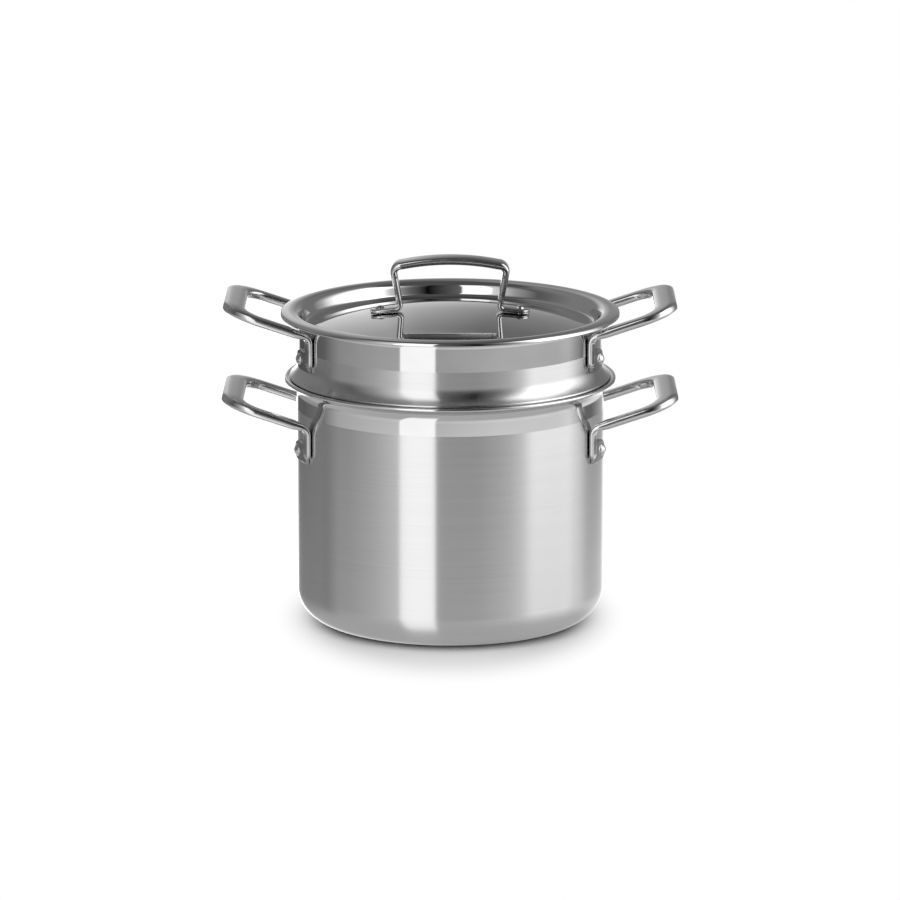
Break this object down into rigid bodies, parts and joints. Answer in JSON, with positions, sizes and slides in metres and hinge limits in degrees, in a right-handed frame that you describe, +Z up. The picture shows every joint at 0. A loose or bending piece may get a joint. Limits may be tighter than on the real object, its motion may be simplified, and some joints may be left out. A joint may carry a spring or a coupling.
{
  "type": "pasta pot",
  "caption": "Tall stainless steel pasta pot with a lift-out perforated strainer insert, a recessed lid and riveted loop handles.",
  "frame": {"origin": "centre of the pot's flat base, on the surface that it stands on", "axes": "+Z up along the common axis of pot, insert and lid, +X towards one pair of side handles, +Y to the side without handles"},
  "size_m": [0.303, 0.226, 0.2457],
  "materials": {
    "satin_steel": "satin, turned on a lathe, with a mirror-polished band at the rim",
    "polished_steel": "mirror polished",
    "cast_steel": "polished casting",
    "rivet_steel": "polished"
  },
  "bodies": {
    "pot": {"pot_body": "satin_steel", "pot_handle_left": "cast_steel", "pot_handle_right": "cast_steel", "pot_rivet_left_front": "rivet_steel", "pot_rivet_left_back": "rivet_steel", "pot_rivet_right_front": "rivet_steel", "pot_rivet_right_back": "rivet_steel"},
    "insert": {"strainer_insert": "satin_steel", "insert_handle_left": "cast_steel", "insert_handle_right": "cast_steel", "insert_rivet_left_front": "rivet_steel", "insert_rivet_left_back": "rivet_steel", "insert_rivet_right_front": "rivet_steel", "insert_rivet_right_back": "rivet_steel"},
    "lid": {"lid_cover": "polished_steel", "lid_handle": "cast_steel", "lid_rivet_left": "rivet_steel", "lid_rivet_right": "rivet_steel"}
  },
  "joints": [
    {"name": "insert_lift", "type": "slide", "parent": "pot", "child": "insert", "axis": [0, 0, 1], "range_m": [0, 0.25]},
    {"name": "lid_lift", "type": "slide", "parent": "insert", "child": "lid", "axis": [0, 0, 1], "range_m": [0, 0.08]}
  ]
}
